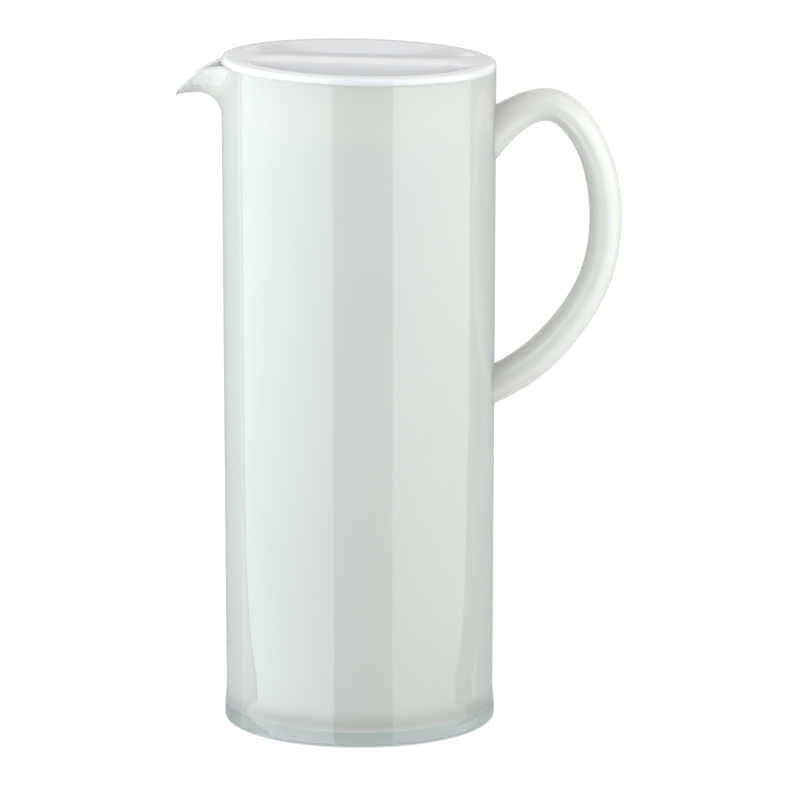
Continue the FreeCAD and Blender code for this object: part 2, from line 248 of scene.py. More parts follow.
def upper_wall(wall, lip, foot, rows):
    """The wall from the height of foot up to the rim, beak included, as rows x columns x (x, y, z)."""
    columns = rim_columns(wall, lip)
    angles = np.arctan2(columns[:, 1], columns[:, 0])
    edges = np.hypot(columns[:, 0], columns[:, 1])
    keel_out, keel_up = keel_line(wall, lip)
    inner = rim_radius - wall
    half = np.argmin(np.abs(angles - flare_angle))
    sheet = []
    for angle, edge in zip(angles, edges):
        out = inner + (edge - inner) * (1 - np.cos(np.linspace(0.0, math.pi, 60))) / 2
        mouth = np.interp(out, edges[half::-1], angles[half::-1])
        share = np.clip(abs(math.sin(angle)) / np.maximum(np.sin(mouth), 1e-9), 0.0, 1.0)
        if abs(angle) >= flare_angle:
            share[:] = 1.0
        bow = 1.0 - np.sqrt(np.maximum(1.0 - share ** 2, 0.0))
        keel = np.interp(out, keel_out, keel_up)
        up = keel + (rim_at(out * math.cos(angle)) - keel) * bow
        line = np.vstack([[inner, foot], np.stack([out, up], axis=1)])
        line = even(line, rows)
        line[:, 0] += (side_radius(line[:, 1]) - rim_radius) * (line[:, 0] <= inner + 1e-6)
        sheet.append(np.stack([-line[:, 0] * math.cos(angle), line[:, 0] * math.sin(angle), line[:, 1]],
                              axis=1))
    return np.array(sheet).transpose(1, 0, 2)


trial = upper_wall(0.0, 0.0, sheet_foot, sheet_rows)
print(f"outer sheet: {trial.shape[0]} rows of {trial.shape[1]} points, tip at {trial[..., 0].min():.2f} mm")

# %% [markdown]
# ## From sheets to a closed shell
#
# A clear layer only refracts properly when its mesh is closed, like a real wall with an outside, an
# inside and a rim between them. Each layer is therefore one list of rings: from the middle of the base
# out and up the outside, over a rounded rim, and down the inside to the middle of the floor.

# %% Rings
def ring_at(columns, radius, height):
    """One level ring under the given columns."""
    angles = np.arctan2(columns[:, 1], -columns[:, 0])
    return np.stack([-radius * np.cos(angles), radius * np.sin(angles), np.full(len(angles), height)], axis=1)


def over_rim(outside, inside, rounding, steps=4):
    """Rings from the outer edge over to the inner edge, with both edges rounded."""
    across = inside - outside
    width = np.linalg.norm(across, axis=1, keepdims=True)
    across /= width
    bend = np.minimum(rounding, 0.4 * width)
    up = np.array([0.0, 0.0, 1.0])
    turns = np.linspace(0.0, math.pi / 2, steps + 1)
    rise = [outside + across * bend * (1 - math.cos(t)) + up * bend * (math.sin(t) - 1) for t in turns]
    fall = [inside - across * bend * (1 - math.sin(t)) + up * bend * (math.cos(t) - 1) for t in turns]
    return rise + fall


print("rim is turned over in", len(over_rim(trial[-1], 0.9 * trial[-1], 0.4)), "rings")

# %% [markdown]
# Rings of equal length are joined face by face, and a single point closes each end. The normals are then
# turned outwards, because glass needs to know which side is air.

# %% Closed meshes
def closed_mesh(name, rings, bottom, top):
    """A mesh through closed rings of equal length, with a point at each end."""
    count = len(rings[0])
    points = np.vstack([[bottom]] + list(rings) + [[top]]) * MM
    faces = [(0, 1 + (i + 1) % count, 1 + i) for i in range(count)]
    for ring in range(len(rings) - 1):
        start = 1 + ring * count
        for i in range(count):
            j = (i + 1) % count
            faces.append((start + i, start + j, start + count + j, start + count + i))
    last, start = len(points) - 1, 1 + (len(rings) - 1) * count
    faces += [(start + i, start + (i + 1) % count, last) for i in range(count)]
    return solid_piece(name, points, faces)


def solid_piece(name, points, faces):
    """A smooth-shaded object whose faces all look outwards."""
    mesh = bpy.data.meshes.new(name)
    mesh.from_pydata([tuple(p) for p in points], [], faces)
    work = bmesh.new()
    work.from_mesh(mesh)
    bmesh.ops.recalc_face_normals(work, faces=work.faces)
    work.to_mesh(mesh)
    work.free()
    mesh.shade_smooth()
    piece = bpy.data.objects.new(name, mesh)
    bpy.context.scene.collection.objects.link(piece)
    print(f"{name}: {len(mesh.polygons)} faces, {[round(d / MM, 1) for d in piece.dimensions]} mm")
    return piece


# %% [markdown]
# ### The clear case
#
# The case stands on a flat base with a rounded, slightly flared foot. Its inside is the seat of the
# liner, which turns from wall to floor in a wide round. The thick clear corner between that round and
# the foot is what shows as a glassy band at the base.

# %% Rings of one layer
rim_round = 0.45
flare_rings = [foot_height, 6.5, 8.0, 9.5, 11.0, 12.5, waist_height]


def up_side(columns, inset, flared, heights):
    """Rings up the plain side, set in from the outside of the case."""
    base = side_radius(np.array(heights))
    if not flared:
        base = side_radius(np.maximum(heights, waist_height))
    return [ring_at(columns, radius - inset, height) for radius, height in zip(base, heights)]


def corner_rings(columns, radius, floor, rounding, steps=10):
    """Rings from the flat of a floor round its corner and up to the side."""
    flat = [ring_at(columns, share * (radius - rounding), floor) for share in (0.3, 0.6, 0.9, 0.99)]
    turns = np.linspace(0.0, math.pi / 2, steps + 1)
    bend = [ring_at(columns, radius - rounding * (1 - math.sin(t)), floor + rounding * (1 - math.cos(t)))
            for t in turns]
    return flat + bend


def layer(name, outside, inside, rounding):
    """One closed layer. Each side is its rings from the floor up to the rim."""
    rim = over_rim(outside[-1], inside[-1], rounding)
    rings = outside[:-1] + rim + inside[-2::-1]
    return closed_mesh(name, rings, (0.0, 0.0, outside[0][0, 2]), (0.0, 0.0, inside[0][0, 2]))


def side_rings(wall, lip, floor, rounding, flared=False):
    """All rings of one face of a layer, from the floor's corner up to the rim."""
    sheet = upper_wall(wall, lip, sheet_foot, sheet_rows)
    columns = sheet[0]
    start = foot_radius if flared else waist_radius - wall
    top = floor + rounding
    heights = flare_rings if flared else [top + 1.0, top + 6.0]
    heights = heights + list(np.linspace(heights[-1] + 10.0, sheet_foot - 8.0, 10))
    return (corner_rings(columns, start, floor, rounding) + up_side(columns, wall, flared, heights)
            + list(sheet))


print("rings in the flare at", flare_rings, "mm")

# %% [markdown]
# The case is two such faces: the outside with its flared foot, and the seat of the liner.

# %% Build the case
case = layer("carafe_case", side_rings(0.0, 0.0, 0.0, foot_round, flared=True),
             side_rings(case_wall, case_lip, case_floor, liner_round), rim_round)

# %% [markdown]
# ### The pearl liner
#
# The liner fills the case, and the two are bonded. If their faces only met, Cycles would see a film of
# air between them. The liner is therefore a hair larger than its seat and reaches just into the clear
# wall, so a ray that comes through the clear layer lands on the pearl one.

# %% Build the liner
bond = 0.06     # how far the liner reaches into the clear wall
liner = layer("carafe_liner",
              side_rings(case_wall - bond, case_lip - bond, case_floor - bond, liner_round),
              side_rings(case_wall + liner_wall, case_lip + liner_lip, case_floor + liner_floor,
                         liner_round - liner_wall), rim_round)

# %% [markdown]
# ## The handle
#
# The handle is one bar of acrylic with an oval section, thicker where it is cemented to the wall. Its
# line rises a little from the upper joint, turns over a crown and comes back in a long sweep. The bar is
# an oval swept along a smooth line through ten points, with the oval's size eased along the way.

# %% The handle's path and thickness
handle_thick, handle_wide, root_thick, root_wide = 12.7, 16.0, 17.4, 19.0
slim_thick, tail_thick = 11.9, 14.2
handle_path = [(-12.0, 222.6), (6.0, 240.3), (22.5, 244.6), (32.0, 237.1), (40.2, 220.0), (42.8, 202.0),
               (39.2, 177.8), (26.5, 155.9), (11.8, 141.6), (-12.0, 129.0)]
grip_shares = [0.0, 0.07, 0.15, 0.22, 0.29, 0.36, 0.44, 0.68, 0.85, 1.0]
grip_thick = [root_thick, root_thick, handle_thick, handle_thick, slim_thick, slim_thick, handle_thick,
              handle_thick, tail_thick, tail_thick]
grip_wide = [root_wide, root_wide] + [handle_wide] * 8
print(f"handle stands {max(out for out, up in handle_path):.1f} mm out along its middle line")

# %% [markdown]
# A natural cubic spline goes through every point and bends as little as it can, as a warmed bar of acrylic
# does when it is formed. Its points are spread evenly, so that the rings along it keep an even distance.

# %% A smooth line through points
def smooth_line(points, count):
    """Even points on the natural cubic spline through the given ones."""
    points = np.array(points)
    knots = np.append(0.0, np.cumsum(np.linalg.norm(np.diff(points, axis=0), axis=1)))
    gaps = np.diff(knots)
    size = len(points)
    system, pull = np.eye(size), np.zeros_like(points)
    for i in range(1, size - 1):
        system[i, i - 1:i + 2] = gaps[i - 1], 2 * (gaps[i - 1] + gaps[i]), gaps[i]
        pull[i] = 6 * ((points[i + 1] - points[i]) / gaps[i] - (points[i] - points[i - 1]) / gaps[i - 1])
    bend = np.linalg.solve(system, pull)
    at = np.linspace(0.0, knots[-1], 8 * count)
    i = np.clip(np.searchsorted(knots, at, side="right") - 1, 0, size - 2)
    back, ahead, gap = (at - knots[i])[:, None], (knots[i + 1] - at)[:, None], gaps[i][:, None]
    line = (bend[i] * ahead ** 3 + bend[i + 1] * back ** 3) / (6 * gap) + (
        points[i] / gap - bend[i] * gap / 6) * ahead + (points[i + 1] / gap - bend[i + 1] * gap / 6) * back
    return even(line, count)


def soften(values, passes):
    """Values averaged with their neighbours, so that steps become slopes."""
    for _ in range(passes):
        values = np.concatenate([values[:1], (values[:-2] + 2 * values[1:-1] + values[2:]) / 4, values[-1:]])
    return values


trial = smooth_line(handle_path, 50)
print(f"line of {len(trial)} points, {np.linalg.norm(np.diff(trial, axis=0), axis=1).sum():.0f} mm long")

# %% [markdown]
# A curve with a bevel would give one section all along. The bar thickens at both roots, so its oval is
# sized ring by ring, and the steps between sizes are averaged into slopes.

# %% Sweep an oval along it
def handle_rings(count=150, around=48):
    """Oval rings along the handle."""
    line = smooth_line([(rim_radius + out, up) for out, up in handle_path], count)
    along = np.gradient(line, axis=0)
    along /= np.linalg.norm(along, axis=1, keepdims=True)
    share = np.linspace(0.0, 1.0, count)
    thick = soften(np.interp(share, grip_shares, grip_thick), 60) / 2
    wide = soften(np.interp(share, grip_shares, grip_wide), 60) / 2
    turn = np.linspace(0.0, 2 * math.pi, around, endpoint=False)
    rings = []
    for place, way, t, w in zip(line, along, thick, wide):
        side = np.array([-way[1], way[0]])
        rings.append(np.stack([place[0] + side[0] * t * np.sin(turn), w * np.cos(turn),
                               place[1] + side[1] * t * np.sin(turn)], axis=1))
    return rings


rings = handle_rings()
print(f"{len(rings)} rings of {len(rings[0])} points")

# %% [markdown]
# The bar's ends are cut to the round of the wall before they are cemented. In the mesh, the rings near an
# end lie partly inside the wall, and each of their points is slid back along the bar to the wall's face.

# %% Seat the ends on the wall
weld = 0.35      # how far the ends are melted into the clear wall
behind = 3.0     # rings deeper than this behind the wall's face are dropped
kept = [i for i, ring in enumerate(rings) if (np.hypot(ring[:, 0], ring[:, 1]) > rim_radius - behind).any()]
rings = rings[kept[0]:kept[-1] + 1]


def seat_on_wall(rings):
    """Ring points inside the wall are slid out along the handle until they just enter the wall."""
    stack = np.array(rings)
    for step in (1, -1):
        run = stack[::step]
        for point in range(run.shape[1]):
            path = run[:, point]
            depth = np.hypot(path[:, 0], path[:, 1]) - (side_radius(path[:, 2]) - weld)
            first = int(np.argmax(depth > 0))
            if first:
                share = depth[first] / (depth[first] - depth[first - 1])
                path[:first] = path[first] + (path[first - 1] - path[first]) * share
    return list(stack)


rings = seat_on_wall(rings)
handle = closed_mesh("carafe_handle", rings, rings[0].mean(axis=0), rings[-1].mean(axis=0))

# %% [markdown]
# ## The lid
#
# The lid is one moulding. Its flange lies flush on the rim, and its top is sunk in a shallow dish, the cap
# of a large sphere. A bar runs straight across the dish, level with the flange, and two fingers grip it
# in the hollows on either side. Below the flange a plug skirt fits the mouth. A boolean of a dish and a
# bar would leave knife edges, but moulded edges are rounded and catch a line of light. The top is
# therefore a height for every point of a disc, and its rows are placed where the bar turns over.

# %% Sizes of the lid
lid_edge, lid_round = 2.85, 1.3
dish_radius, dish_depth, dish_wall = 47.0, 6.5, 2.8
bar_half, bar_wall, bar_end, bar_round = 12.2, 2.4, 4.0, 0.9
bar_lean, bar_crown = math.radians(80.0), 0.16
plug_radius, plug_taper, plug_wall, plug_depth = rim_radius - case_wall - liner_wall - 0.5, 0.88, 2.4, 23.0
dish_bow = (dish_radius ** 2 + dish_depth ** 2) / (2 * dish_depth)
under_radius = plug_radius - plug_wall
under_floor = lid_edge - dish_depth - dish_wall
under_bow = dish_bow + dish_wall
print(f"dish is the cap of a sphere {dish_bow:.0f} mm in radius, skirt radius {plug_radius:.1f} mm")

# %% [markdown]
# Both faces of the lid are heights over the rim plane. The dish is the cap of a sphere, the bar is a
# cross-section drawn once, and where the two cross, the edge is rounded over by a small blend.

# %% The lid's faces as heights
def cap(reach, floor, bow):
    """Height of the cap of a sphere at a distance from its middle."""
    return floor + bow - np.sqrt(np.maximum(bow ** 2 - reach ** 2, 0.0))


def soft_least(one, other, blend):
    """The lower of two heights, with the edge where they cross rounded over."""
    near = np.maximum(blend - np.abs(one - other), 0.0) / np.maximum(blend, 1e-9)
    return np.minimum(one, other) - near ** 2 * blend / 4


def bar_profile():
    """Half of the grip bar's cross-section, from its middle out and down its side, as (across, up)."""
    flat = np.linspace(0.0, bar_half - bar_round, 12)
    crown = bar_crown * np.cos(math.pi * flat / 32.0) ** 2
    turn = np.linspace(math.pi / 2, math.pi / 2 - bar_lean, 6)
    edge = np.stack([bar_half - bar_round + bar_round * np.cos(turn),
                     lid_edge + crown[-1] - bar_round + bar_round * np.sin(turn)], axis=1)
    drop = np.array([0.8, 1.8, 3.0, 4.2, 5.4, 7.0])
    side = np.stack([edge[-1, 0] + drop / math.tan(bar_lean), edge[-1, 1] - drop], axis=1)
    return np.vstack([np.stack([flat, lid_edge + crown], axis=1), edge[1:], side])


bar_line = bar_profile()


def lid_top(x, y):
    """Height of the lid's upper face over a point of the rim plane."""
    dish = cap(np.hypot(x, y), lid_edge - dish_depth, dish_bow)
    dish = soft_least(dish, np.full_like(dish, lid_edge), 0.12)
    bar = np.interp(np.abs(y), bar_line[:, 0], bar_line[:, 1])
    bar -= np.maximum(bar - lid_edge, 0.0) * ease((np.abs(x) - 34.0) / 8.0)
    blend = 0.8 * np.clip((lid_edge - dish) / 2.0, 0.0, 1.0)
    return -soft_least(-dish, -bar, blend)


def lid_under(x, y):
    """Height of the lid's hollow underside."""
    under = cap(np.hypot(x, y), under_floor, under_bow)
    ceiling = lid_edge - dish_wall
    inside = ease((bar_half - bar_wall - np.abs(y)) / 0.7) * ease((under_radius - bar_end - np.abs(x)) / 0.7)
    return under + np.maximum(ceiling - under, 0.0) * inside


middle = [float(face(np.zeros(1), np.full(1, y))[0]) for face in (lid_top, lid_under) for y in (0.0, 20.0)]
print("top at the bar and in the dish, then underside:", [round(height, 2) for height in middle])


# %% [markdown]
# A disc can be meshed as rings or as rows. The bar is straight, so the middle is rows: each row is a chord
# of the disc, and extra rows lie along the bar's edges. Rings take over near the rim, where everything
# turns about the axis. The ends of the rows become the points of the first ring.

# %% Rows across a disc
grid_radius, grid_under = 45.6, 44.4
side_rows = np.concatenate([bar_line[:, 0], bar_line[-1, 0] + np.array([0.5, 1.2, 2.2]),
                            bar_half - bar_wall - np.array([0.0, 0.25, 0.45, 0.7])])
far_rows = grid_under * np.sin(np.radians(np.linspace(20.0, 83.0, 22)))
half_rows = np.unique(np.append(side_rows, far_rows).round(3))
rows = np.unique(np.append(-half_rows, half_rows))
spots = np.sin(np.radians(np.linspace(-90.0, 90.0, 61)))


def disc_grid(radius, height):
    """Points of the rows across a disc, as rows x columns x (x, y, z)."""
    chord = np.sqrt(radius ** 2 - rows ** 2)
    x = chord[:, None] * spots[None, :]
    y = np.repeat(rows[:, None], len(spots), axis=1)
    return np.stack([x, y, height(x, y)], axis=2)


def disc_loop():
    """Places of the grid's outer points, in order round the disc."""
    last_row, last = len(rows) - 1, len(spots) - 1
    right = [(row, last) for row in range(last_row + 1)]
    back = [(last_row, column) for column in range(last - 1, 0, -1)]
    left = [(row, 0) for row in range(last_row, -1, -1)]
    front = [(0, column) for column in range(1, last)]
    return right + back + left + front


def disc_faces(start, turned=False):
    """Faces of a grid whose first point has the number start."""
    wide = len(spots)
    corner = [(start + row * wide + column) for row in range(len(rows) - 1) for column in range(wide - 1)]
    faces = [(c, c + 1, c + wide + 1, c + wide) for c in corner]
    return [face[::-1] for face in faces] if turned else faces


print(f"{len(rows)} rows of {len(spots)} points, {len(disc_loop())} points round the disc")

# %% [markdown]
# From the last row on, the outline turns about the axis: the flange, its rounded edge, the seat on the rim,
# the skirt down into the mouth and back up its inside to the underside's rows.

# %% The outline below the flange
def bend(centre, radius, first, last, steps):
    """Points (out, up) of an arc between two angles in degrees."""
    turn = np.radians(np.linspace(first, last, steps + 1))
    return [(centre[0] + radius * math.cos(t), centre[1] + radius * math.sin(t)) for t in turn]


def lid_rings():
    """Outline (out, up) from the dish's edge over the flange and down the skirt to the underside."""
    rim = rim_radius
    low = plug_radius - plug_taper
    near = [(out, None) for out in (46.0, 46.4, 46.7, 46.9, 47.05, 47.2, 47.45, 47.8)]
    flange = [(out, lid_edge) for out in (48.5, 50.0, 51.4)]
    edge = bend((rim - lid_round, lid_edge - lid_round), lid_round, 90, 0, 7)
    foot = [(rim, 0.9), (rim, 0.35)] + bend((rim - 0.3, 0.32), 0.3, -20, -90, 3)
    seat = [(rim - 1.5, 0.02), (50.0, 0.02), (plug_radius + 0.5, 0.02)]
    skirt = [(plug_radius + 0.12, -0.1), (plug_radius, -0.5)]
    skirt += [(plug_radius - plug_taper * share, -plug_depth * share) for share in (0.3, 0.6, 0.9)]
    skirt += bend((low - 0.6, 0.6 - plug_depth), 0.6, 0, -90, 4)
    inner = bend((low - plug_wall + 0.6, 0.6 - plug_depth), 0.6, -90, -180, 4)
    inner += [(under_radius - plug_taper * share, -plug_depth * share) for share in (0.9, 0.6, 0.3, 0.1)]
    inner += [(under_radius - 0.1, 0.03 - 0.5), (under_radius - 0.4, None)]
    return near + flange + edge + foot + seat + skirt + inner


print("points down the outline:", len(lid_rings()))

# %% [markdown]
# The rows and rings are joined into one closed mesh, which is then tipped onto the slope of the rim.

# %% Build the lid
def build_lid():
    """The lid as a mesh, laid on the slanting rim."""
    top, under = disc_grid(grid_radius, lid_top), disc_grid(grid_under, lid_under)
    loop = disc_loop()
    wide = len(spots)
    first = np.array([top[place] for place in loop])
    last = np.array([under[place] for place in loop])
    angles = np.arctan2(first[:, 1], first[:, 0])
    rings = []
    outline = lid_rings()
    for place, (out, up) in enumerate(outline):
        x, y = out * np.cos(angles), out * np.sin(angles)
        height = lid_top if place < len(outline) / 2 else lid_under
        rings.append(np.stack([x, y, height(x, y) if up is None else np.full(len(x), up)], axis=1))
    points = np.vstack([top.reshape(-1, 3), under.reshape(-1, 3)] + rings)
    faces = disc_faces(0) + disc_faces(top.shape[0] * wide, turned=True)
    around = len(loop)
    start = 2 * top.shape[0] * wide
    chain = [np.array([row * wide + column for row, column in loop])]
    chain += [start + ring * around + np.arange(around) for ring in range(len(rings))]
    chain += [chain[0] + top.shape[0] * wide]
    for one, other in zip(chain, chain[1:]):
        faces += [(one[i], one[(i + 1) % around], other[(i + 1) % around], other[i]) for i in range(around)]
    x = points[:, 0] * math.cos(rim_slope) + points[:, 2] * math.sin(rim_slope)
    z = points[:, 2] * math.cos(rim_slope) - points[:, 0] * math.sin(rim_slope) + rim_height
    return solid_piece("carafe_lid", np.stack([x, points[:, 1], z], axis=1) * MM,
                       [tuple(int(i) for i in face) for face in faces])


lid = build_lid()

# %% [markdown]
# ## Finishes
#
# All four pieces are acrylic, so they share an index of refraction near 1.49 and a polished skin. What sets
# them apart is what is stirred into the resin: nothing in the case, pearl flake in the liner and handle,
# and a white opacifier in the lid.

# %% Helpers for materials
def linear(code, alpha=1.0):
    """A colour written as sRGB hex, as the linear values that nodes take."""
    parts = [int(code[i:i + 2], 16) / 255 for i in (1, 3, 5)]
    return tuple(c / 12.92 if c <= 0.04045 else ((c + 0.055) / 1.055) ** 2.4 for c in parts) + (alpha,)


def per_metre(size):
    """A texture's scale for a pattern of this size in millimetres."""
    return 1.0 / (size * MM)


def new_material(name):
    """An empty node material with its output."""
    material = bpy.data.materials.new(name)
    material.use_nodes = True
    material.node_tree.nodes.clear()
    return material.node_tree, material.node_tree.nodes.new("ShaderNodeOutputMaterial"), material


def put(tree, kind, inputs=None, **settings):
    """Add a node with its settings. An input takes a value or another node's output."""
    node = tree.nodes.new(kind)
    for name, value in settings.items():
        setattr(node, name, value)
    for name, value in (inputs or {}).items():
        if isinstance(value, bpy.types.NodeSocket):
            tree.links.new(value, node.inputs[name])
        else:
            node.inputs[name].default_value = value
    return node


acrylic_ior = 1.49
print("white in linear values:", [round(c, 3) for c in linear("#F4F4F1")])

# %% [markdown]
# ### Clear acrylic (PMMA), injection moulded
#
# Cast or moulded PMMA is almost colourless, and only a thick piece shows the cool tint of the resin. That
# tint is absorption over distance, so it belongs in the volume and not in the surface colour: the 2.6 mm
# wall stays clear and the thick corner at the base goes bluish. Moulding leaves a faint waviness that
# bends the edge of each highlight.

# %% Clear acrylic
def clear_acrylic():
    """Polished, faintly wavy and slightly blue in depth."""
    tree, output, material = new_material("clear_pmma_moulded")
    place = put(tree, "ShaderNodeTexCoord").outputs["Object"]
    waves = put(tree, "ShaderNodeTexNoise", {"Vector": place, "Scale": per_metre(26.0), "Detail": 1.0})
    haze = put(tree, "ShaderNodeTexNoise", {"Vector": place, "Scale": per_metre(9.0), "Detail": 3.0})
    rough = put(tree, "ShaderNodeMapRange", {"Value": haze.outputs["Fac"], "To Min": 0.012, "To Max": 0.03})
    bump = put(tree, "ShaderNodeBump", {"Height": waves.outputs["Fac"], "Strength": 0.12, "Distance": 0.0004})
    skin = put(tree, "ShaderNodeBsdfPrincipled", {
        "Base Color": linear("#FFFFFF"), "Roughness": rough.outputs["Result"], "IOR": acrylic_ior,
        "Transmission Weight": 1.0, "Normal": bump.outputs["Normal"]})
    tint = put(tree, "ShaderNodeVolumeAbsorption", {"Color": linear("#DDF3F5"), "Density": 9.0})
    tree.links.new(skin.outputs["BSDF"], output.inputs["Surface"])
    tree.links.new(tint.outputs["Volume"], output.inputs["Volume"])
    return material


clear_finish = clear_acrylic()
print(clear_finish.name, "has", len(clear_finish.node_tree.nodes), "nodes")


# %% [markdown]
# ### Pearl acrylic, double shot behind the clear one
#
# Pearl resin is full of tiny mica plates. They lie roughly along the wall, so they give the white a soft
# broad gloss, and they follow the flow of the resin in the mould, so large faint swirls stay in it. The
# swirls are a stretched noise, a few percent in brightness. The plates themselves are about 0.05 mm and
# too fine to see here, so the grain is drawn at 0.8 mm and very faint. Where the lid's white skirt
# stands behind the liner, less light is lost through it. That light is painted into the colour: a mask by
# height makes the band lighter, as painted light and not as a change in the resin.

# %% Pearl acrylic
def pearl_acrylic(name, light, deep, roughness, gloss_ior, subsurface, painted_light_above=None):
    """White resin with mica: two close whites in flow swirls, a fine grain, and, when a height is given, a
    painted lighter band above it.
    """
    tree, output, material = new_material(name)
    place = put(tree, "ShaderNodeTexCoord").outputs["Object"]
    flow = put(tree, "ShaderNodeMapping", {"Vector": place, "Scale": (1.0, 1.0, 0.4)})
    swirl = put(tree, "ShaderNodeTexNoise", {
        "Vector": flow.outputs["Vector"], "Scale": per_metre(34.0), "Detail": 3.0, "Distortion": 1.4})
    grain = put(tree, "ShaderNodeTexVoronoi", {"Vector": place, "Scale": per_metre(0.8)})
    tone = put(tree, "ShaderNodeMix", {0: swirl.outputs["Fac"], 6: linear(deep), 7: linear(light)},
               data_type="RGBA")
    # Painted light: above the given height the colour is mixed halfway to a warm white, for the light that
    # the lid's skirt sends back through the liner.
    if painted_light_above:
        height = put(tree, "ShaderNodeSeparateXYZ", {"Vector": place}).outputs["Z"]
        skirt = put(tree, "ShaderNodeMapRange", {
            "Value": height, "From Min": painted_light_above - 0.0012, "From Max": painted_light_above + 0.0012, "To Max": 0.5})
        tone = put(tree, "ShaderNodeMix", {
            0: skirt.outputs["Result"], 6: tone.outputs[2], 7: linear("#FFFDF6")}, data_type="RGBA")
    rough = put(tree, "ShaderNodeMapRange", {
        "Value": grain.outputs["Distance"], "To Min": roughness * 0.85, "To Max": roughness * 1.15})
    bump = put(tree, "ShaderNodeBump", {
        "Height": grain.outputs["Distance"], "Strength": 0.04, "Distance": 0.0001})
    resin = put(tree, "ShaderNodeBsdfPrincipled", {
        "Base Color": tone.outputs[2], "Roughness": rough.outputs["Result"], "IOR": gloss_ior,
        "Subsurface Weight": subsurface, "Subsurface Scale": 0.007,
        "Subsurface Radius": (1.0, 0.9, 0.8), "Normal": bump.outputs["Normal"]})
    tree.links.new(resin.outputs["BSDF"], output.inputs["Surface"])
    return material


# The liner's colour is painted lighter above this height, where the lid's skirt stands behind it.
skirt_low = (rim_height - plug_depth) * MM
liner_finish = pearl_acrylic("pearl_acrylic_liner", "#F9FAF6", "#F5F6F2", 0.3, 1.5, 0.0, skirt_low)
handle_finish = pearl_acrylic("pearl_acrylic_handle", "#DADBD7", "#D3D4D0", 0.1, acrylic_ior, 0.5)
print(f"the liner is lighter above {skirt_low / MM:.1f} mm, where the lid's skirt backs it")

# %% [markdown]
# ### Opal white acrylic, injection moulded and polished
#
# The lid's resin carries a white opacifier, so light goes a few millimetres in and comes out again. That
# softens shadows at the bar and in the dish. Its skin is polished, with the same faint moulding waves.

# %% Opal acrylic
def opal_acrylic():
    """Dense white with a polished skin."""
    tree, output, material = new_material("opal_acrylic_polished")
    place = put(tree, "ShaderNodeTexCoord").outputs["Object"]
    cloud = put(tree, "ShaderNodeTexNoise", {"Vector": place, "Scale": per_metre(18.0), "Detail": 4.0})
    waves = put(tree, "ShaderNodeTexNoise", {"Vector": place, "Scale": per_metre(14.0), "Detail": 1.0})
    tone = put(tree, "ShaderNodeMix", {0: cloud.outputs["Fac"], 6: linear("#DBDBDD"), 7: linear("#E1E0E2")},
               data_type="RGBA")
    rough = put(tree, "ShaderNodeMapRange", {"Value": cloud.outputs["Fac"], "To Min": 0.05, "To Max": 0.09})
    bump = put(tree, "ShaderNodeBump", {"Height": waves.outputs["Fac"], "Strength": 0.06, "Distance": 0.0003})
    resin = put(tree, "ShaderNodeBsdfPrincipled", {
        "Base Color": tone.outputs["Result"], "Roughness": rough.outputs["Result"], "IOR": acrylic_ior,
        "Subsurface Weight": 0.6, "Subsurface Scale": 0.006, "Subsurface Radius": (1.0, 0.9, 0.8),
        "Normal": bump.outputs["Normal"]})
    tree.links.new(resin.outputs["BSDF"], output.inputs["Surface"])
    return material


lid_finish = opal_acrylic()
print(lid_finish.name, "has", len(lid_finish.node_tree.nodes), "nodes")

# %% [markdown]
# Each piece now gets its finish and is tied to the frame: it rides on the one body, and the frame's solid
# that it takes the place of is hidden.

# %% Dress the pieces and hang them on the frame
finishes = [
    (case, clear_finish, "clear_case", "clear_acrylic"),
    (liner, liner_finish, "pearl_liner", "pearl_acrylic"),
    (handle, handle_finish, "handle", "pearl_handle"),
    (lid, lid_finish, "lid", "opal_lid"),
]
for piece, material, node, slot in finishes:
    piece.data.materials.append(material)
    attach(piece, "root")
    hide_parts(node)
    print(f"{piece.name} stands for {node}, in {material.name}")

# %% [markdown]
# ## The camera
#
# A product shot of a glossy body is taken from far away with a long lens, so that the sides stay parallel.
# The camera stands 2.6 m away and looks down on the carafe by a little over 11 degrees. It is placed
# before the lights, because what a glossy wall mirrors depends on where it is seen from.

# %% Place the camera
camera_pitch, camera_distance, lens = math.radians(11.38), 2.6, 298.0
aim = Vector((0.016, 0.0, 0.1277))
camera = bpy.data.objects.new("camera", bpy.data.cameras.new("camera"))
bpy.context.scene.collection.objects.link(camera)
camera.location = aim + camera_distance * Vector((0.0, -math.cos(camera_pitch), math.sin(camera_pitch)))
camera.rotation_euler = (math.pi / 2 - camera_pitch, 0.0, 0.0)
camera.data.lens = lens
camera.data.sensor_width = 36.0
bpy.context.scene.camera = camera
bpy.context.scene.view_settings.view_transform = "Standard"
print("camera at", [round(c, 3) for c in camera.location])

# %% [markdown]
# ## The studio
#
# A glossy body is lit by what it mirrors. Two tall softboxes stand at the sides, so each flank carries a
# broad highlight, and the dark gap between them stays as a sharper, darker band down the middle. The
# boxes are emitting cards, because a card can be bent, cut and graded in brightness, which a lamp can't.
# All cards are hidden from the camera.

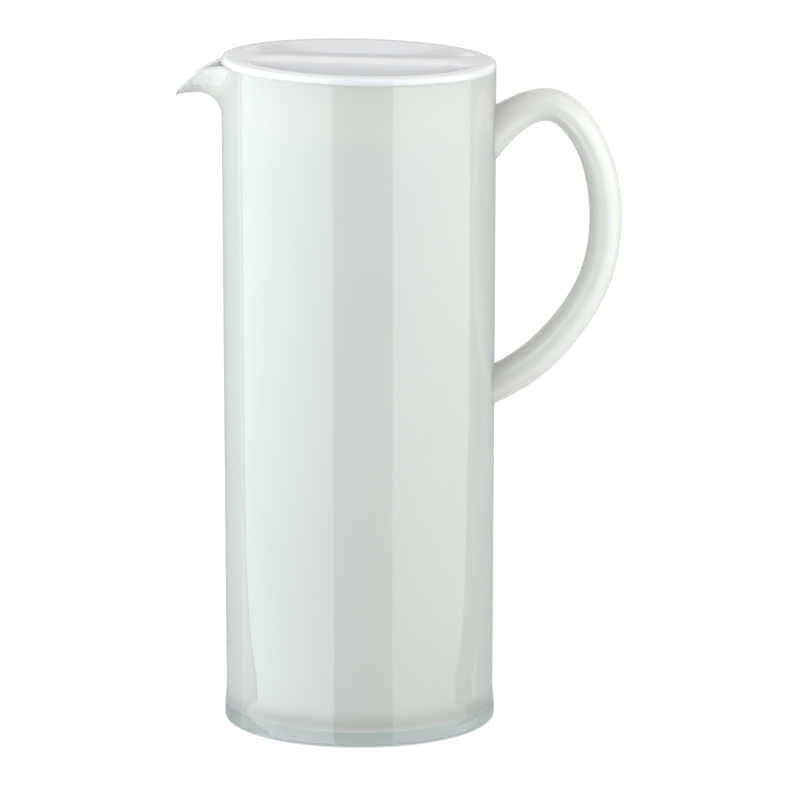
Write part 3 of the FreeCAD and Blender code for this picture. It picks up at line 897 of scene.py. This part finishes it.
# %% Card material
def card_material(name, colour, across=(1.0, 1.0), up=(1.0, 1.0), foot=1.0):
    """A plain light, graded across the card, towards its top and towards its foot."""
    tree, output, material = new_material(name)
    place = put(tree, "ShaderNodeTexCoord").outputs["UV"]
    axes = put(tree, "ShaderNodeSeparateXYZ", {"Vector": place})
    wide = put(tree, "ShaderNodeMapRange", {
        "Value": axes.outputs["X"], "To Min": across[0], "To Max": across[1]})
    tall = put(tree, "ShaderNodeMapRange", {
        "Value": axes.outputs["Y"], "From Min": 0.6, "From Max": 0.9, "To Min": up[0], "To Max": up[1]},
        interpolation_type="SMOOTHSTEP")
    low = put(tree, "ShaderNodeMapRange", {
        "Value": axes.outputs["Y"], "From Min": 0.32, "From Max": 0.46, "To Min": foot, "To Max": 1.0})
    glow = put(tree, "ShaderNodeMath", {0: wide.outputs["Result"], 1: tall.outputs["Result"]},
               operation="MULTIPLY")
    glow = put(tree, "ShaderNodeMath", {0: glow.outputs["Value"], 1: low.outputs["Result"]},
               operation="MULTIPLY")
    light = put(tree, "ShaderNodeEmission", {"Color": linear(colour), "Strength": glow.outputs["Value"]})
    tree.links.new(light.outputs["Emission"], output.inputs["Surface"])
    return material


print("a card at half grey glows", round(linear("#BCBCBC")[0], 2))

# %% [markdown]
# A card is a grid of points in rows, so one function makes flat, bent and tapering cards alike.

# %% A card through rows of points
def card(name, rows, material):
    """A card through rows of points, hidden from the camera."""
    deep, wide = len(rows), len(rows[0])
    faces = [(r * wide + s, r * wide + s + 1, (r + 1) * wide + s + 1, (r + 1) * wide + s)
             for r in range(deep - 1) for s in range(wide - 1)]
    mesh = bpy.data.meshes.new(name)
    mesh.from_pydata([tuple(point) for row in rows for point in row], [], faces)
    uv = mesh.uv_layers.new(name="across")
    for loop in mesh.loops:
        row, step = divmod(loop.vertex_index, wide)
        uv.data[loop.index].uv = (step / (wide - 1), row / (deep - 1))
    mesh.materials.append(material)
    sheet = bpy.data.objects.new(name, mesh)
    bpy.context.scene.collection.objects.link(sheet)
    sheet.visible_camera = False
    return sheet


# %% [markdown]
# An upright glossy wall mirrors each direction from one known place. `mirrored` works that place out from
# the camera, the wall and the azimuth that a card's edge should have, so the edges of highlights land where
# they are wanted.

# %% Where cards stand
def towards(azimuth, radius, height):
    """A point at an azimuth in degrees, from the camera's side (0) round to the handle's side (90)."""
    turn = math.radians(azimuth)
    return Vector((radius * math.sin(turn), -radius * math.cos(turn), height))


def mirrored(azimuth, radius, height):
    """The point of a card that the upright wall mirrors to the camera at a height, from an azimuth."""
    turn, wall = math.radians(azimuth / 2), rim_radius * MM
    run = math.sqrt(radius ** 2 - (wall * math.sin(turn)) ** 2) - wall * math.cos(turn)
    slope = (camera.location.z - height) / (-camera.location.y - wall * math.cos(turn))
    place = azimuth - math.degrees(math.asin(wall * math.sin(turn) / radius))
    return towards(place, radius, height - run * slope)


def upright(first, last, radius, low, high, steps=24, rows=12):
    """Rows of a card that follows a circle about the object between two azimuths."""
    return [[towards(first + (last - first) * step / steps, radius, low + (high - low) * row / rows)
             for step in range(steps + 1)] for row in range(rows + 1)]


def softbox(name, first, last, material):
    """A tall softbox that the wall mirrors between two azimuths."""
    edges = [math.degrees(math.atan2(end.x, -end.y))
             for end in (mirrored(azimuth, box_far, 0.1) for azimuth in (first, last))]
    return card(name, upright(*edges, box_far, box_low, box_high), material)


# %% [markdown]
# The two boxes differ a little, as two real ones do: the left one is cooler and brighter. A third lamp hangs
# overhead, and a small light table under the clear base makes it glow as it does on a lit white surface.

# %% Softboxes
box_far, box_low, box_high = 0.6, -0.6, 0.6
softbox("softbox_left", -115.0, -21.7,
        card_material("softbox_cool", "#F2FAFF", (2.45, 2.2), (0.94, 1.4), 1.8))
softbox("softbox_right", 28.7, 108.0,
        card_material("softbox_neutral", "#FAFEFF", (2.25, 1.95), (0.93, 1.4)))
card("softbox_top", [[(x, y, 0.85) for x in (-0.4, 0.4)] for y in (-0.35, 0.35)],
     card_material("softbox_above", "#FFFCFA", (0.8, 0.8)))
card("light_table", [[towards(7.5 * step, out, -0.00005) for step in range(49)] for out in (0.001, 0.048)],
     card_material("light_table", "#FFFFFF"))

# %% [markdown]
# The edges of the softboxes are framed by dark flags. A flag only shows in gloss: it draws a line in the
# highlight and takes no light away. Near the foot of the carafe the flags curve inwards, so that in the
# gloss the lower corners of the boxes look rounded, and a pale card covers the corner of the left box.

# %% Dark flags
def flag(name, rows, colour="#9A9FA2"):
    """A dark card that shapes reflections and neither lights nor shades the object."""
    sheet = card(name, rows, card_material(name, colour))
    sheet.visible_diffuse = False
    sheet.visible_shadow = False
    return sheet


def ribbon(marks, radius, steps=48):
    """Rows of a flag whose mirrored edges run through marks of (height on the wall, first, last azimuth)."""
    marks = np.array(marks)
    way = np.linspace(0.0, len(marks) - 1.0, steps)
    rounds = [np.interp(way, np.arange(len(marks)), marks[:, i]) for i in range(3)]
    return [[mirrored(first, radius, height), mirrored(last, radius, height)]
            for height, first, last in zip(*rounds)]


# %% [markdown]
# Each line below lists a height on the wall with the first and last azimuth that the wall mirrors there.

# %% Flags beside the softboxes
flag_far = box_far - 0.02
front_gap = card("flag_front", upright(-30.0, 34.0, 2.9, -1.2, 3.0), card_material("room_front", "#7C8184"))
front_gap.visible_shadow = False
right_line = [(0.0155, 85.0, 87.0), (0.019, 90.0, 112.0), (0.035, 98.0, 124.0),
              (0.052, 103.0, 128.0), (0.13, 108.0, 131.0), (0.5, 108.0, 131.0)]
flag("flag_right", ribbon(right_line, flag_far))
left_line = [(-0.12, -80.0, -78.0), (0.0, -88.0, -86.0), (0.0155, -96.0, -94.0), (0.022, -103.0, -100.0),
             (0.036, -110.5, -107.5), (0.064, -116.0, -113.5), (0.12, -117.5, -115.5), (0.5, -117.5, -115.5)]
flag("flag_left", ribbon(left_line, flag_far))
flag("flag_left_corner", ribbon([(height, -119.0, first) for height, first, last in left_line], flag_far),
     "#F4F8FC")
print("flags stand", flag_far, "m out")

# %% [markdown]
# The lid is nearly level, so it mirrors what lies behind it: the white room low down, a grey card above
# that, and a patch of sky-bright card in the middle, which draws the pale lens in the rear of the dish.

# %% Cards behind the lid
back_far = 1.6
lid_up = lid_high[2] * MM
lid_slope = (camera.location.z - lid_up) / -camera.location.y
low_top = lid_up + back_far * lid_slope
high_foot = lid_up + back_far * math.tan(math.radians(21.0))
flag("flag_low_back", upright(120.0, 240.0, back_far, -0.6, low_top, rows=2), "#B9BDC4")
flag("flag_high_back", upright(120.0, 240.0, back_far, high_foot, 2.4, rows=2), "#B4B6BE")


def sky_patch(radius=1.5, steps=16):
    """Rows of a lens-shaped card over the back, wide at its top and rounded at its lower edge."""
    rows = []
    for share in np.linspace(0.0, 1.0, steps):
        elevation = math.radians(28.0 + 14.0 * share)
        half = 16.0 * math.sqrt(share) + 0.5
        height = lid_up + radius * math.tan(elevation)
        rows.append([towards(180.0 - half, radius, height), towards(180.0 + half, radius, height)])
    return rows


card("card_sky", sky_patch(), card_material("card_sky", "#F2F5FF", (1.05, 1.05)))

# %% [markdown]
# The room is white. Rays from the camera, and rays that a gloss or a clear piece sends on from it, see it
# at full strength, and light that has already been scattered sees it dimmer, as a plain fill.

# %% World
world = bpy.data.worlds.new("white_studio")
bpy.context.scene.world = world
world.use_nodes = True
room = world.node_tree
room.nodes.clear()
ray = put(room, "ShaderNodeLightPath")
seen = put(room, "ShaderNodeMath", {0: ray.outputs["Is Camera Ray"], 1: ray.outputs["Is Glossy Ray"]},
           operation="ADD")
seen = put(room, "ShaderNodeMath", {0: seen.outputs["Value"], 1: ray.outputs["Is Transmission Ray"]},
           operation="ADD", use_clamp=True)
fresh = put(room, "ShaderNodeMath", {0: ray.outputs["Diffuse Depth"], 1: 0.5}, operation="LESS_THAN")
direct = put(room, "ShaderNodeMath", {0: seen.outputs["Value"], 1: fresh.outputs["Value"]},
             operation="MULTIPLY")
fill = put(room, "ShaderNodeMix", {0: direct.outputs["Value"], 6: linear("#E6E4DA"), 7: linear("#FFFFFF")},
           data_type="RGBA")
air = put(room, "ShaderNodeBackground", {"Color": fill.outputs["Result"], "Strength": 1.0})
put(room, "ShaderNodeOutputWorld", {"Surface": air.outputs["Background"]})
world.cycles.sampling_method = "NONE"
print("room of", len(room.nodes), "nodes")

# %% [markdown]
# ## The floor
#
# The table is matt, so it bounces light up under the beak and keeps the soft shadow of the foot. To the
# camera most of it glows plain white, which is how a lit white table top reads next to the object.

# %% Floor
def pale_floor():
    """A matt white table top that keeps the shadow and is white where nothing shades it."""
    tree, output, material = new_material("pale_table")
    place = put(tree, "ShaderNodeTexCoord").outputs["Object"]
    tooth = put(tree, "ShaderNodeTexNoise", {"Vector": place, "Scale": per_metre(3.0), "Detail": 3.0})
    bump = put(tree, "ShaderNodeBump", {"Height": tooth.outputs["Fac"], "Strength": 0.05, "Distance": 0.0005})
    matt = put(tree, "ShaderNodeBsdfDiffuse", {"Color": linear("#D8D6D0"), "Normal": bump.outputs["Normal"]})
    white = put(tree, "ShaderNodeEmission", {"Color": linear("#FFFFFF"), "Strength": 1.12})
    rays = put(tree, "ShaderNodeLightPath")
    seen = put(tree, "ShaderNodeMath", {0: rays.outputs["Is Camera Ray"], 1: 0.88}, operation="MULTIPLY")
    mixed = put(tree, "ShaderNodeMixShader", {
        0: seen.outputs["Value"], 1: matt.outputs["BSDF"], 2: white.outputs["Emission"]})
    tree.links.new(mixed.outputs["Shader"], output.inputs["Surface"])
    return material


def flat_sheet(name, size, height):
    """A square sheet centred under the object."""
    half = size / 2
    mesh = bpy.data.meshes.new(name)
    mesh.from_pydata([(-half, -half, height), (half, -half, height), (half, half, height),
                      (-half, half, height)], [], [(0, 1, 2, 3)])
    sheet = bpy.data.objects.new(name, mesh)
    bpy.context.scene.collection.objects.link(sheet)
    return sheet


floor_size, floor_height = 12.0, -0.0001     # a hair below the base, so the two faces don't flicker
floor = flat_sheet("floor", floor_size, floor_height)
floor.data.materials.append(pale_floor())
floor.visible_glossy = False
print("floor is", floor_size, "m square")

# %% [markdown]
# ## Finish
#
# The pieces must stay inside the box of the solids they stand for.

# %% Update the scene
bpy.context.view_layer.update()
